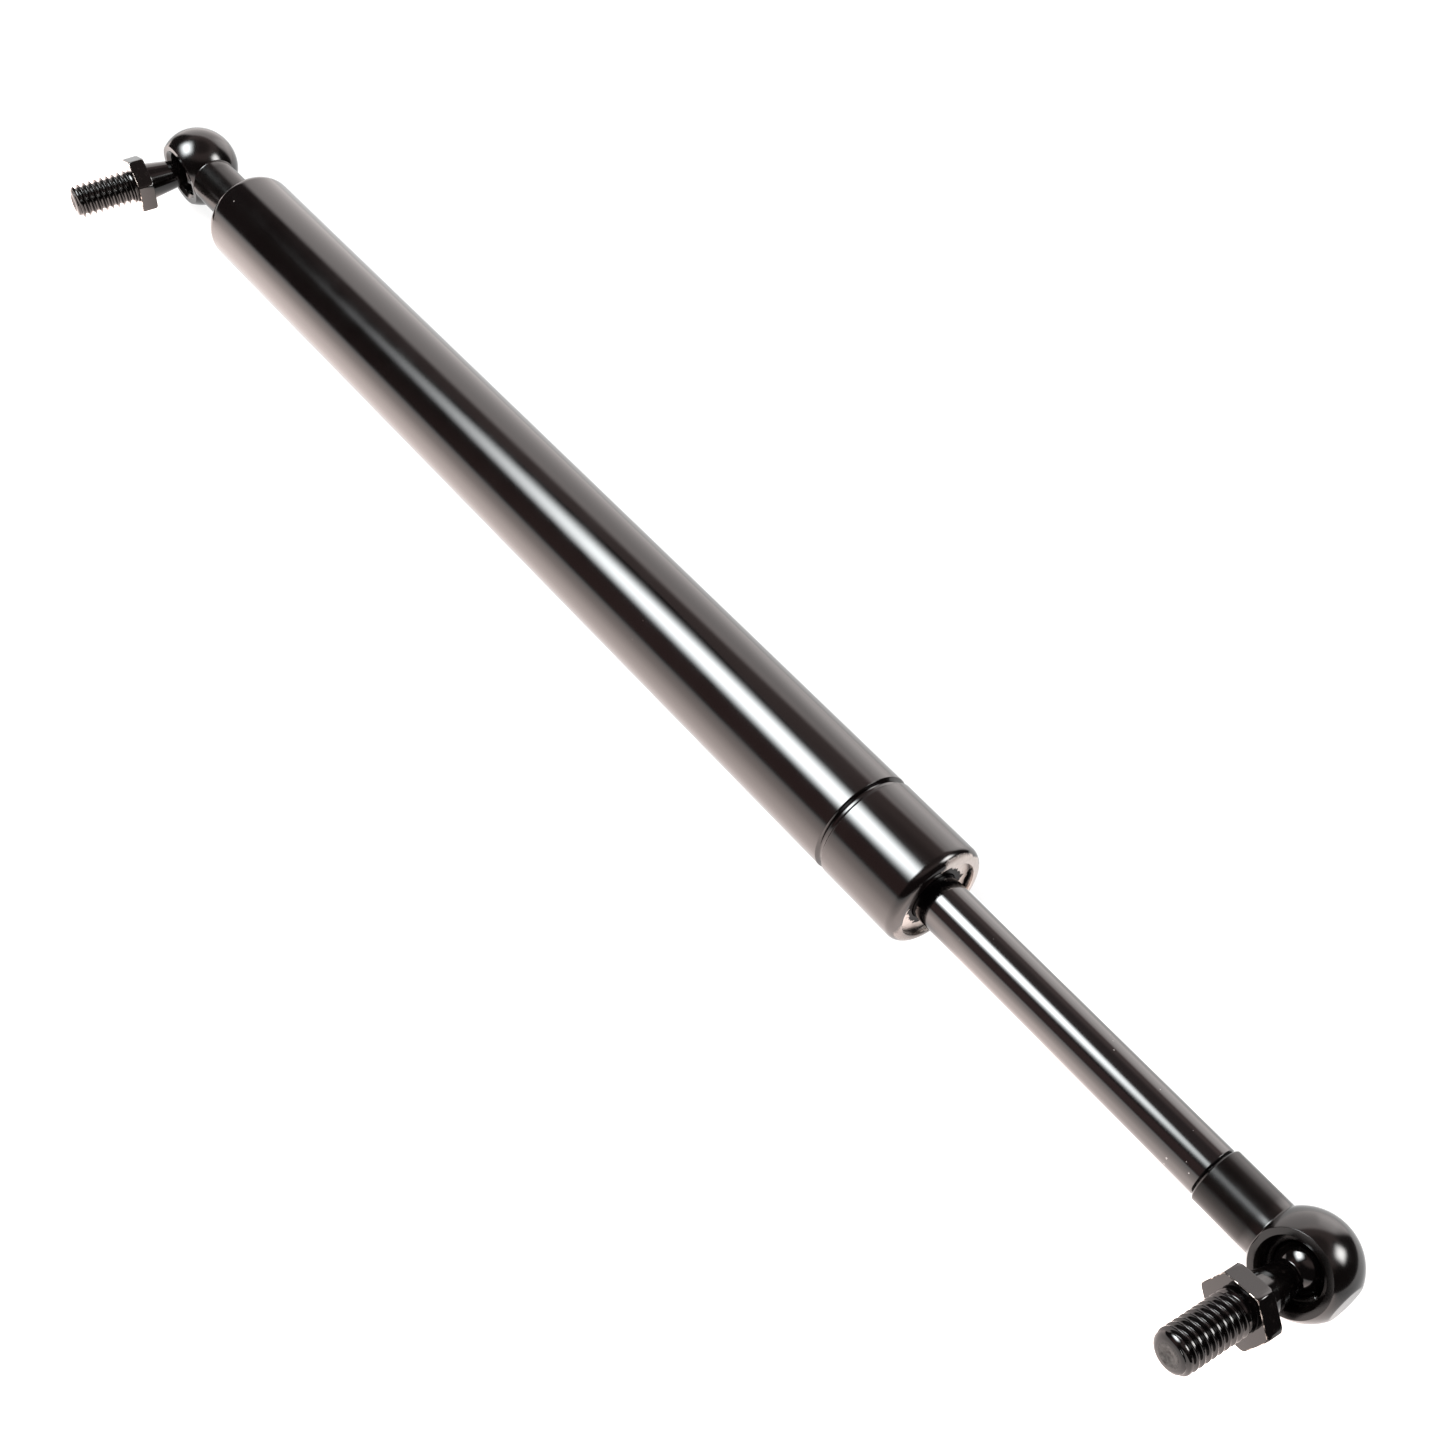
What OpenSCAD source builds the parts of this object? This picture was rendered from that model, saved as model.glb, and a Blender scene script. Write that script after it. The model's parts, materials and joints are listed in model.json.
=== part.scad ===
// Gas strut stay with a ball socket and a threaded ball stud at each end.
// Origin: centre of the rear ball, at the closed end of the tube.
// +X runs to the centre of the front ball. +Z is up with the strut lying on a flat surface.
// Units are millimetres. The rod is drawn fully out, which is where the gas charge holds it.

/* [Overall] */
// Distance between the two ball centres with the rod fully out
extended_length = 359; // [250:1:600]
// Travel of the rod from fully out to fully in
stroke = 60; // [20:1:200]

/* [Pressure tube] */
// Outside diameter of the tube
tube_od = 22; // [15:0.5:28]
// Wall thickness of the tube
tube_wall = 1.2; // [0.8:0.1:2]
// Position of the tube's closed rear face
tube_rear_x = 23.5; // [20:0.5:30]
// Position of the tube's rolled front edge
tube_front_x = 271.5; // [150:0.5:500]
// Radius of the rounded rear shoulder
rear_shoulder_r = 3; // [1:0.5:5]
// Radius of the rolled front shoulder
front_shoulder_r = 2.2; // [1:0.1:4]
// Radius of the opening left by the rolled front edge
front_opening_r = 8.5; // [7:0.1:9.5]
// Distance of the rolled-in groove behind the front edge
groove_setback = 20.7; // [12:0.1:40]
// Depth of the rolled-in groove
groove_depth = 0.8; // [0.3:0.1:1.5]
// Width of the rolled-in groove
groove_width = 1.8; // [1:0.1:4]

/* [Rod] */
// Diameter of the rod
rod_d = 10; // [6:0.5:14]
// Diameter of the rod's reduced inner end
rod_tail_d = 7; // [4:0.5:9]
// Chamfer at the rod's outer end
rod_chamfer = 0.3; // [0.1:0.1:1]

/* [Ball sockets] */
// Diameter of the socket's ball-shaped head
head_d = 18.4; // [15:0.1:24]
// Diameter of the socket's shank
shank_d = 11; // [8:0.5:16]
// Distance from the ball centre to the end of the shank
shank_length = 19.7; // [16:0.1:30]
// Distance from the ball centre to the mouth's flat face
mouth_height = 5.45; // [4.5:0.05:7]
// Diameter of the flat on the head's outer end
end_flat_d = 7.4; // [0:0.1:10]
// Droop of the rear socket's mouth below level
rear_mouth_droop = 16.8; // [-90:0.1:90]
// Droop of the front socket's mouth below level
front_mouth_droop = -16.7; // [-90:0.1:90]

/* [Ball studs] */
// Diameter of the ball
ball_d = 10; // [8:0.5:13]
// Distance from the ball centre to the hexagon's seat
seat_distance = 17; // [14:0.1:24]
// Thickness of the hexagon
hex_thickness = 3.7; // [2:0.1:6]
// Width of the hexagon across its flats
hex_flats = 12; // [10:0.5:17]
// Outside diameter of the thread
thread_d = 7.94; // [6:0.01:10]
// Distance from the ball centre to the tip of the thread
tip_distance = 31.7; // [24:0.1:45]
// Direction of the rear stud, measured from straight up
rear_stud_polar = 103.4; // [60:0.1:120]
// Heading of the rear stud round the vertical
rear_stud_heading = -98.2; // [-120:0.1:-60]
// Turn of the rear stud about its own axis
rear_stud_turn = 53.5; // [0:0.5:60]
// Direction of the front stud, measured from straight up
front_stud_polar = 92.9; // [60:0.1:120]
// Heading of the front stud round the vertical
front_stud_heading = -93.2; // [-120:0.1:-60]
// Turn of the front stud about its own axis
front_stud_turn = 41.5; // [0:0.5:60]

/* [Fits] */
// Radial clearance between pieces that slide or turn
running = 0.05; // [0.02:0.01:0.1]

/* [Hidden] */
$fn = 64;
eps = 0.01;
bore_r = tube_od / 2 - tube_wall;
rod_r = rod_d / 2;
tail_r = rod_tail_d / 2;
ball_r = ball_d / 2;
head_r = head_d / 2;
shank_r = shank_d / 2;
thread_r = thread_d / 2;
groove_x = tube_front_x - groove_setback;
bead_r = bore_r - groove_depth;
bead_half = groove_width / 2 + 0.6;
rim_r = sqrt(head_r * head_r - mouth_height * mouth_height);
end_flat_x = sqrt(head_r * head_r - end_flat_d * end_flat_d / 4);
// Snap ring: wire radius, height above the ball centre and radius of the wire's centre line
wire_r = 0.6;
ring_h = 2.35;
ring_r = 5.14;
// Screwed joint between a socket and the part it is fixed to
screw_r = 4;
screw_hole_end = 8.7;
screw_length = 10.2;
// Guide pack, counted forwards from the rolled-in groove
support_x0 = groove_x + bead_half;
support_t = 1.2;
seal_x0 = support_x0 + support_t;
seal_t = 4.6;
guide_x0 = seal_x0 + seal_t;
washer_t = 1.2;
washer_x1 = tube_front_x - 1.3;
washer_x0 = washer_x1 - washer_t;
bush_r = 6.2;
// Piston pack, counted rearwards from the rolled-in groove
stop_x1 = groove_x - bead_half;
stop_t = 1.5;
piston_x1 = stop_x1 - stop_t;
piston_t = 8;
disc_x1 = piston_x1 - piston_t;
disc_t = 1;
tail_x0 = disc_x1 - disc_t;
// Rear plug
plug_x0 = tube_rear_x + tube_wall;
plug_x1 = plug_x0 + 9;

// Turns a profile drawn as [radius, x] about the X axis
module turned(points) {
    rotate([90, 0, 90])
    rotate_extrude()
    polygon(points);
}

// Plain washer or ring along X
module ring_x(x0, x1, ro, ri) {
    translate([x0, 0, 0])
    rotate([0, 90, 0])
    difference() {
        cylinder(h = x1 - x0, r = ro);
        translate([0, 0, -eps])
        cylinder(h = x1 - x0 + 2 * eps, r = ri);
    }
}

// Turns +Z of a piece to a heading round the vertical and an angle from straight up
module aim(polar, heading, turn) {
    rotate([0, polar, heading])
    rotate([0, 0, turn])
    children();
}

function arc(cx, cr, r, a0, a1, n) =
    [for (i = [0:n]) let (a = a0 + (a1 - a0) * i / n) [cr + r * sin(a), cx + r * cos(a)]];

// Tube with a rounded rear shoulder, a rolled-in groove and a rolled front edge
module pressure_tube() {
    ro = tube_od / 2;
    rs = rear_shoulder_r;
    fs = front_shoulder_r;
    color([0.05, 0.05, 0.05])
    turned(concat(
        [[6.6, tube_rear_x]],
        arc(tube_rear_x + rs, ro - rs, rs, 180, 90, 8),
        [[ro, groove_x - groove_width / 2 - 0.3],
         [ro - groove_depth * 0.7, groove_x - groove_width / 2 + 0.3],
         [ro - groove_depth, groove_x - 0.3],
         [ro - groove_depth, groove_x + 0.3],
         [ro - groove_depth * 0.7, groove_x + groove_width / 2 - 0.3],
         [ro, groove_x + groove_width / 2 + 0.3]],
        arc(tube_front_x - fs, ro - fs, fs, 90, 0, 8),
        [[front_opening_r, tube_front_x],
         [front_opening_r, washer_x1],
         [bore_r, washer_x1],
         [bore_r, groove_x + bead_half],
         [bead_r, groove_x + 0.5],
         [bead_r, groove_x - 0.5],
         [bore_r, groove_x - bead_half],
         [bore_r, plug_x0 + rs - tube_wall]],
        arc(plug_x0 + rs - tube_wall, bore_r - rs + tube_wall, rs - tube_wall, 90, 180, 5),
        [[6.6, plug_x0]]
    ));
}

// Plug that closes the rear of the tube, with the collar and screw for the rear socket
module rear_end_plug() {
    pr = bore_r - 0.02;
    color([0.62, 0.62, 0.60])
    turned([
        [0, screw_hole_end + 0.8],
        [screw_r - 0.8, screw_hole_end + 0.8],
        [screw_r - 0.02, screw_hole_end + 1.6],
        [screw_r - 0.02, shank_length + 0.02],
        [shank_r, shank_length + 0.02],
        [shank_r, tube_rear_x - 0.1],
        [6.5, tube_rear_x],
        [6.5, plug_x0 + 0.02],
        [pr - 1.9, plug_x0 + 0.02],
        [pr, plug_x0 + 2.1],
        [pr, plug_x0 + 3.6],
        [pr - 1.5, plug_x0 + 3.6],
        [pr - 1.5, plug_x0 + 5.6],
        [pr, plug_x0 + 5.6],
        [pr, plug_x1],
        [0, plug_x1]
    ]);
}

module rear_plug_o_ring() {
    color([0.03, 0.03, 0.03])
    ring_x(plug_x0 + 3.7, plug_x0 + 5.5, bore_r - 0.01, bore_r - 1.5);
}

// Wire ring with a gap, lying round the mouth axis of a socket (mouth along +Z)
module snap_ring() {
    difference() {
        rotate_extrude()
        translate([ring_r, ring_h])
        circle(r = wire_r, $fn = 20);
        translate([0, -1.2, 0])
        cube([9, 2.4, 5]);
    }
}

// Socket head, shank along +X of the strut, mouth turned down by droop; side is 1 or -1 for the shank's way
module ball_socket(side, droop) {
    difference() {
        union() {
            difference() {
                sphere(r = head_r, $fn = 96);
                translate([side > 0 ? -end_flat_x - 5 : end_flat_x, -12, -12])
                cube([5, 24, 24]);
            }
            rotate([0, side * 90, 0]) {
                cylinder(h = shank_length - 0.3, r = shank_r);
                translate([0, 0, shank_length - 0.3])
                cylinder(h = 0.3, r1 = shank_r, r2 = shank_r - 0.3);
            }
        }
        rotate([0, side * 90, 0])
        translate([0, 0, screw_hole_end])
        cylinder(h = 20, r = screw_r);
        rotate([90 + droop, 0, 0]) {
            translate([0, 0, mouth_height])
            cylinder(h = 6, r = 12);
            sphere(r = ball_r + 0.06, $fn = 96);
            cylinder(h = ring_h - 0.65, r = ball_r + 0.06);
            translate([0, 0, ring_h - 0.66])
            cylinder(h = 1.32, r = ring_r + wire_r + 0.06);
            translate([0, 0, ring_h])
            cylinder(h = 6, r = 5.4);
            translate([0, 0, mouth_height - 0.8])
            cylinder(h = 0.81, r1 = 5.4, r2 = 6.21);
        }
    }
}

module rear_ball_socket() {
    color([0.06, 0.06, 0.06])
    ball_socket(1, rear_mouth_droop);
}

module front_ball_socket() {
    color([0.06, 0.06, 0.06])
    translate([extended_length, 0, 0])
    ball_socket(-1, front_mouth_droop);
}

module rear_snap_ring() {
    color([0.5, 0.5, 0.5])
    rotate([90 + rear_mouth_droop, 0, 0])
    snap_ring();
}

module front_snap_ring() {
    color([0.5, 0.5, 0.5])
    translate([extended_length, 0, 0])
    rotate([90 + front_mouth_droop, 0, 0])
    snap_ring();
}

// Ball stud along +Z: ball, tapered neck, hexagon and plain-drawn thread
module ball_stud() {
    hex_z0 = seat_distance - hex_thickness;
    hex_r = hex_flats / sqrt(3);
    sphere(r = ball_r, $fn = 96);
    translate([0, 0, 4.1])
    cylinder(h = hex_z0 - 4.1 + 0.2, r1 = 2.86, r2 = 4.3);
    intersection() {
        translate([0, 0, hex_z0])
        cylinder(h = hex_thickness, r = hex_r, $fn = 6);
        rotate_extrude()
        polygon([
            [0, hex_z0],
            [hex_r - 0.35, hex_z0],
            [hex_r + 0.1, hex_z0 + 0.45],
            [hex_r + 0.1, seat_distance - 0.25],
            [hex_r - 0.25, seat_distance],
            [0, seat_distance]
        ]);
    }
    translate([0, 0, seat_distance - 0.2])
    cylinder(h = tip_distance - seat_distance + 0.2 - 1, r = thread_r);
    translate([0, 0, tip_distance - 1])
    cylinder(h = 1, r1 = thread_r, r2 = thread_r - 1);
}

module rear_ball_stud() {
    color([0.07, 0.07, 0.07])
    aim(rear_stud_polar, rear_stud_heading, rear_stud_turn)
    ball_stud();
}

module front_ball_stud() {
    color([0.07, 0.07, 0.07])
    translate([extended_length, 0, 0])
    aim(front_stud_polar, front_stud_heading, front_stud_turn)
    ball_stud();
}

// Rod with a reduced, riveted inner end and a screwed outer end
module piston_rod() {
    end_x = extended_length - shank_length - 0.25;
    screw_x = extended_length - screw_hole_end - 0.8;
    color([0.04, 0.04, 0.05])
    turned([
        [0, tail_x0 - 1.3],
        [tail_r + 0.4, tail_x0 - 1.3],
        [tail_r + 1.1, tail_x0 - 0.7],
        [tail_r + 1.1, tail_x0],
        [tail_r, tail_x0],
        [tail_r, stop_x1],
        [rod_r, stop_x1],
        [rod_r, end_x - rod_chamfer],
        [rod_r - rod_chamfer, end_x],
        [screw_r - 0.02, end_x],
        [screw_r - 0.02, screw_x - 0.8],
        [screw_r - 0.8, screw_x],
        [0, screw_x]
    ]);
}

module piston_washer() {
    color([0.55, 0.55, 0.55])
    ring_x(piston_x1, stop_x1, bore_r - 0.3, tail_r + 0.02);
}

// Piston with a groove for its ring and four lengthwise metering slots
module piston_body() {
    pr = bore_r - 0.15;
    color([0.65, 0.65, 0.65])
    difference() {
        ring_x(disc_x1, piston_x1, pr, tail_r + 0.02);
        ring_x(disc_x1 + 2.6, disc_x1 + 5.4, pr + 1, pr - 1.6);
        for (a = [0:90:270])
            rotate([a, 0, 0])
            translate([disc_x1 - 1, 0, 6.2])
            rotate([0, 90, 0])
            cylinder(h = piston_t + 2, r = 0.8, $fn = 24);
    }
}

module piston_ring() {
    color([0.1, 0.1, 0.1])
    ring_x(disc_x1 + 2.65, disc_x1 + 5.35, bore_r - running, bore_r - 1.7);
}

module orifice_disc() {
    color([0.7, 0.6, 0.35])
    ring_x(tail_x0, disc_x1, 8, tail_r + 0.02);
}

module seal_support_washer() {
    color([0.55, 0.55, 0.55])
    ring_x(support_x0 + 0.01, seal_x0, bore_r - 0.02, rod_r + 0.1);
}

// Lip seal: solid ring with a relieved bore, so that only its two lips run on the rod
module rod_seal() {
    color([0.03, 0.03, 0.03])
    turned([
        [rod_r + 0.02, seal_x0 + 0.01],
        [rod_r + 0.02, seal_x0 + 1.0],
        [rod_r + 0.7, seal_x0 + 1.8],
        [rod_r + 0.7, seal_x0 + seal_t - 1.6],
        [rod_r + 0.02, seal_x0 + seal_t - 1.0],
        [rod_r + 0.02, seal_x0 + seal_t - 0.01],
        [bore_r - 0.02, seal_x0 + seal_t - 0.01],
        [bore_r - 0.02, seal_x0 + 0.01]
    ]);
}

module rod_guide() {
    color([0.72, 0.72, 0.70])
    difference() {
        ring_x(guide_x0, washer_x0 - 0.01, bore_r - 0.02, bush_r);
        ring_x(guide_x0 + 4.5, guide_x0 + 6.5, bore_r + 1, bore_r - 1.5);
    }
}

module guide_bush() {
    color([0.6, 0.45, 0.25])
    ring_x(guide_x0 + 0.1, washer_x0 - 0.1, bush_r - 0.01, rod_r + running);
}

module guide_o_ring() {
    color([0.03, 0.03, 0.03])
    ring_x(guide_x0 + 4.6, guide_x0 + 6.4, bore_r - 0.01, bore_r - 1.5);
}

module front_retaining_washer() {
    color([0.66, 0.60, 0.57])
    ring_x(washer_x0, washer_x1 - 0.01, bore_r - 0.03, rod_r + 0.1);
}

pressure_tube();
rear_end_plug();
rear_plug_o_ring();
rear_ball_socket();
rear_snap_ring();
rear_ball_stud();
piston_rod();
piston_washer();
piston_body();
piston_ring();
orifice_disc();
seal_support_washer();
rod_seal();
rod_guide();
guide_bush();
guide_o_ring();
front_retaining_washer();
front_ball_socket();
front_snap_ring();
front_ball_stud();
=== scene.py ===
"""Looks of the gas strut stay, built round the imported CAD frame.

Everything is in metres in the CAD's own frame: the rear ball's centre is the origin, +X runs along the
strut to the front ball, and +Z is up. Each visible piece is a mesh turned or swept here and placed by the
frame's own joints and mounts. The sealed inner pieces stay as CAD nodes with their own materials.
"""

import json
import math

import bmesh
import bpy
from mathutils import Matrix, Vector


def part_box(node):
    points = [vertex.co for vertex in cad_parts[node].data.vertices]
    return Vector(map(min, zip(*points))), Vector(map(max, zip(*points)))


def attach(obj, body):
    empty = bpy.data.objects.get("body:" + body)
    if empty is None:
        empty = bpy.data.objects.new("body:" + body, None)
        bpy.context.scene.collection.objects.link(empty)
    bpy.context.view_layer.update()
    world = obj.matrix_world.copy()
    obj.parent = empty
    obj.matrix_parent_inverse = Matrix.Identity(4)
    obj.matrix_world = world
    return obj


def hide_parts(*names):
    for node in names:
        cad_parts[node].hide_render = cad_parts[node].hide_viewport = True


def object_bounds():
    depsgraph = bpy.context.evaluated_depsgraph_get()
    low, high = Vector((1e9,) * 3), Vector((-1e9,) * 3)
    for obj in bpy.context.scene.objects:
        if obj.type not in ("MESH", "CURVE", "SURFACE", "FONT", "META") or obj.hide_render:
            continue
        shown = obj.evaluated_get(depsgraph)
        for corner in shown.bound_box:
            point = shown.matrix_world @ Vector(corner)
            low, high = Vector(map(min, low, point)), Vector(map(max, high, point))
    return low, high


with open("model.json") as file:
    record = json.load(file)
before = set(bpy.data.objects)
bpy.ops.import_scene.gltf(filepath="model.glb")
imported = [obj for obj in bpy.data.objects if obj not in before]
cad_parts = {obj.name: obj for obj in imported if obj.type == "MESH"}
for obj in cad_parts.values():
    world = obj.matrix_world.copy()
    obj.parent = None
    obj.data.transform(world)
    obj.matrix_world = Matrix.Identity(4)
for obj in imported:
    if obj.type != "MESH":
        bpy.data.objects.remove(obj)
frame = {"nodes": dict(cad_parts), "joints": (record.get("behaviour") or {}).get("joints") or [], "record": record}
cad_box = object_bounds()

MM = 0.001
AXIS_X = Vector((1, 0, 0))


# ---------------------------------------------------------------- places taken from the frame


def joint_axis(name):
    """Direction of a joint's axis at rest."""
    return Vector(next(j["axis"] for j in frame["joints"] if j["name"] == name)).normalized()


def mount(name):
    """A mount of the record: its point and its direction."""
    found = next(m for m in frame["record"]["mounts"] if m["name"] == name)
    return Vector(found["pos_m"]), Vector(found["axis"]).normalized()


REAR_BALL = mount("rear_ball_centre")[0]
FRONT_BALL = mount("front_ball_centre")[0]
TUBE_LOW, TUBE_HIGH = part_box("pressure_tube")
ROD_LOW, ROD_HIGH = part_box("piston_rod")
WASHER_LOW, WASHER_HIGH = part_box("front_retaining_washer")

TUBE_R = TUBE_HIGH.y
TUBE_BACK = TUBE_LOW.x
TUBE_FRONT = TUBE_HIGH.x
ROD_R = ROD_HIGH.y
GROOVE_X = TUBE_FRONT - 20.7 * MM

# Tube, socket and stud sizes, the same as the CAD's
TUBE_WALL = 1.2 * MM
REAR_OPENING_R = 6.6 * MM
FRONT_OPENING_R = 8.5 * MM
LIP_THICK = 1.3 * MM
HEAD_R = 9.2 * MM
SHANK_R = 5.5 * MM
SHANK_END = 19.7 * MM
SCREW_HOLE_R = 4.0 * MM
SCREW_HOLE_START = 8.7 * MM
HEAD_FLAT_R = 3.7 * MM
RING_WIRE_R = 0.6 * MM
RING_Z = 2.35 * MM
MOUTH_Z = 5.45 * MM
BALL_R = 5.0 * MM
SEAT_Z = 17.0 * MM
TIP_Z = 31.7 * MM
HEX_THICK = 3.7 * MM
HEX_HALF = 6.0 * MM
THREAD_R = 3.97 * MM
THREAD_PITCH = 25.4 / 18 * MM
REAR_STUD_TURN = 53.5
FRONT_STUD_TURN = 41.5


# ---------------------------------------------------------------- mesh tools


def rounded(corners, steps=6, hold=0.03 * MM):
    """Outline points from (along, radius, fillet) corners; a fillet is an arc between two short straights."""
    outline = []
    for i, (along, radius, fillet) in enumerate(corners):
        here = Vector((along, radius))
        if fillet == 0:
            outline.append(here)
            continue
        back = (Vector(corners[i - 1][:2]) - here).normalized()
        ahead = (Vector(corners[(i + 1) % len(corners)][:2]) - here).normalized()
        half = back.angle(ahead) / 2
        reach = fillet / math.tan(half)
        centre = here + (back + ahead).normalized() * fillet / math.sin(half)
        first = here + back * reach - centre
        last = here + ahead * reach - centre
        outline.append(here + back * (reach + hold))
        turn = first.angle(last)
        for k in range(steps + 1):
            t = k / steps
            blend = first * math.sin((1 - t) * turn) + last * math.sin(t * turn)
            outline.append(centre + blend / math.sin(turn))
        outline.append(here + ahead * (reach + hold))
    return outline


def arc(centre_along, centre_radius, radius, start, end, steps):
    """Outline points on an arc; angles in degrees, 0 along the axis and 90 straight out."""
    points = []
    for k in range(steps + 1):
        a = math.radians(start + (end - start) * k / steps)
        points.append(
            (centre_along + radius * math.cos(a), centre_radius + radius * math.sin(a), 0)
        )
    return points


def surface(name, rows, loop):
    """A closed mesh from rows of points round the axis; a row of one point is a pole."""
    bm = bmesh.new()
    made = [[bm.verts.new(p) for p in row] for row in rows]
    pairs = list(zip(made, made[1:] + made[:1] if loop else made[1:]))
    for low, high in pairs:
        count = max(len(low), len(high))
        for i in range(count):
            j = (i + 1) % count
            if len(low) == 1:
                corners = (low[0], high[j], high[i])
            elif len(high) == 1:
                corners = (low[i], low[j], high[0])
            else:
                corners = (low[i], low[j], high[j], high[i])
            bm.faces.new(corners)
    bmesh.ops.recalc_face_normals(bm, faces=bm.faces)
    mesh = bpy.data.meshes.new(name)
    bm.to_mesh(mesh)
    bm.free()
    piece = bpy.data.objects.new(name, mesh)
    bpy.context.scene.collection.objects.link(piece)
    return piece


def ring_row(along, radius, columns):
    """Points round the Z axis, or the pole itself where the radius is nothing."""
    if radius < 1e-7:
        return [(0, 0, along)]
    angles = [2 * math.pi * k / columns for k in range(columns)]
    return [(radius * math.cos(a), radius * math.sin(a), along) for a in angles]


def lathe(name, outline, columns=160):
    """An outline of (along, radius) points turned about Z; it is a loop unless it starts on the axis."""
    rows = [ring_row(p[0], p[1], columns) for p in outline]
    return surface(name, rows, loop=len(rows[0]) > 1)


def combine(base, tool, how):
    """Boolean of base with tool, which is used up."""
    modifier = base.modifiers.new(how, "BOOLEAN")
    modifier.operation = how
    modifier.solver = "EXACT"
    modifier.object = tool
    shape = base.evaluated_get(bpy.context.evaluated_depsgraph_get())
    mesh = bpy.data.meshes.new_from_object(shape)
    base.modifiers.clear()
    base.data = mesh
    bpy.data.objects.remove(tool)


def frame_of(z_axis, x_hint):
    """Rotation that turns Z to z_axis and X as near as it can to x_hint."""
    z = z_axis.normalized()
    x = (x_hint - z * x_hint.dot(z)).normalized()
    return Matrix((x, z.cross(x), z)).transposed().to_4x4()


def aim(axis, turn):
    """Rotation that leans Z to an axis, after a turn about Z in degrees."""
    polar = Matrix.Rotation(math.acos(axis.z), 4, "Y")
    heading = Matrix.Rotation(math.atan2(axis.y, axis.x), 4, "Z")
    return heading @ polar @ Matrix.Rotation(math.radians(turn), 4, "Z")


ALONG_X = Matrix.Rotation(math.radians(90), 4, "Y")


def place(piece, matrix, body, nodes, material, sharp=35):
    """Puts a finished piece in the row frame, smooths it, gives it its material, ties it to its body and hides the
    CAD nodes it stands for.
    """
    piece.data.transform(matrix)
    piece.data.shade_smooth()
    piece.data.set_sharp_from_angle(angle=math.radians(sharp))
    piece.data.materials.clear()
    piece.data.materials.append(material)
    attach(piece, body)
    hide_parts(*nodes)
    return piece


# ---------------------------------------------------------------- materials


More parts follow.
